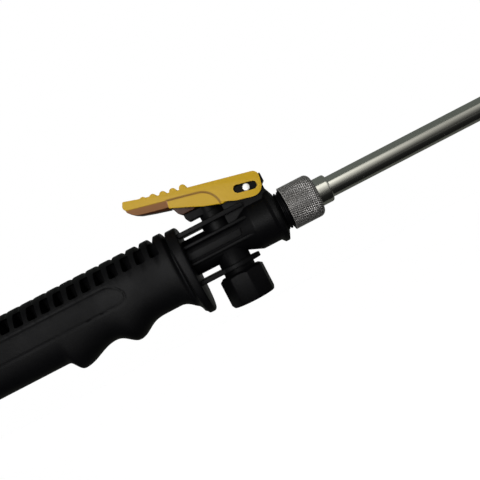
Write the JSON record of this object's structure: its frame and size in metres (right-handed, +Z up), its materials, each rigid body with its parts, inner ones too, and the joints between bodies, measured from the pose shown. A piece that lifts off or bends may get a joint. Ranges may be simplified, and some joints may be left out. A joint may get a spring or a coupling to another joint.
{
  "type": "spray lance",
  "caption": "Hand-held spray lance with a ribbed finger grip and guard, a thumb-lever valve, a screwed hose connection, a straight steel tube and an adjustable nozzle.",
  "frame": {"origin": "centre of the hose tail's open end", "axes": "+X along the lance towards the nozzle, +Z up on the lever side, +Y to the left of a person holding it"},
  "size_m": [0.6306, 0.0342, 0.066],
  "materials": {
    "black_plastic": "satin moulded glass-filled nylon",
    "yellow_plastic": "satin moulded",
    "clear_plastic": "natural moulded",
    "brass": "turned",
    "seal_rubber": "smooth nitrile",
    "stainless_steel": "drawn",
    "nickel_plate": "dull nickel plate, fine diamond knurl",
    "tube_steel": "polished drawn tube"
  },
  "bodies": {
    "lance_body": {"grip": "black_plastic", "inlet_connector": "brass", "inlet_filter": "clear_plastic", "inlet_washer": "seal_rubber", "hose_tail": "brass", "feed_tube": "brass", "feed_seal": "seal_rubber", "valve_body": "black_plastic", "seat_ring": "brass", "stem_seal": "seal_rubber", "gland_bush": "brass", "return_spring": "stainless_steel", "bottom_cap": "black_plastic", "cap_seal": "seal_rubber", "tube_collar": "tube_steel", "collar_seal": "seal_rubber", "lance_tube": "tube_steel", "nozzle_body": "brass", "nozzle_core": "stainless_steel"},
    "hose_nut": {"hose_nut": "black_plastic"},
    "knurled_nut": {"knurled_nut": "nickel_plate"},
    "lever_pin": {"lever_pin": "stainless_steel"},
    "lever": {"lever": "yellow_plastic"},
    "plunger": {"valve_plunger": "black_plastic", "valve_stem": "stainless_steel", "poppet_washer": "seal_rubber"},
    "nozzle_seal": {"nozzle_seal": "seal_rubber"},
    "nozzle_cap": {"nozzle_cap": "brass"}
  },
  "joints": [
    {"name": "lever_turn", "type": "hinge", "parent": "lance_body", "child": "lever_pin", "pos_m": [0.1991, 0, 0.0169], "axis": [0, -1, 0], "range_deg": [0, 4.8], "stiffness_Nm_per_rad": 2, "springref_deg": -14.32},
    {"name": "lever_shift", "type": "slide", "parent": "lever_pin", "child": "lever", "axis": [0.9748, 0, -0.2233], "range_m": [-0.0023, 0.0015]},
    {"name": "plunger_slide", "type": "slide", "parent": "lance_body", "child": "plunger", "axis": [0, 0, -1], "range_m": [0, 0.0025], "deforming": ["return_spring"]},
    {"name": "hose_nut_turn", "type": "hinge", "parent": "lance_body", "child": "hose_nut", "pos_m": [0.03, 0, 0], "axis": [1, 0, 0], "continuous": true},
    {"name": "knurled_nut_turn", "type": "hinge", "parent": "lance_body", "child": "knurled_nut", "pos_m": [0.22, 0, 0], "axis": [1, 0, 0], "continuous": true},
    {"name": "nozzle_travel", "type": "slide", "parent": "lance_body", "child": "nozzle_seal", "axis": [1, 0, 0], "range_m": [0, 0.00187]},
    {"name": "nozzle_turn", "type": "hinge", "parent": "nozzle_seal", "child": "nozzle_cap", "pos_m": [0.62, 0, 0], "axis": [1, 0, 0], "range_deg": [0, 540]}
  ],
  "couplings": [
    {"joint": "plunger_slide", "follows": "lever_turn", "m_per_rad": 0.0297},
    {"joint": "nozzle_turn", "follows": "nozzle_travel", "rad_per_m": 5026.5}
  ]
}
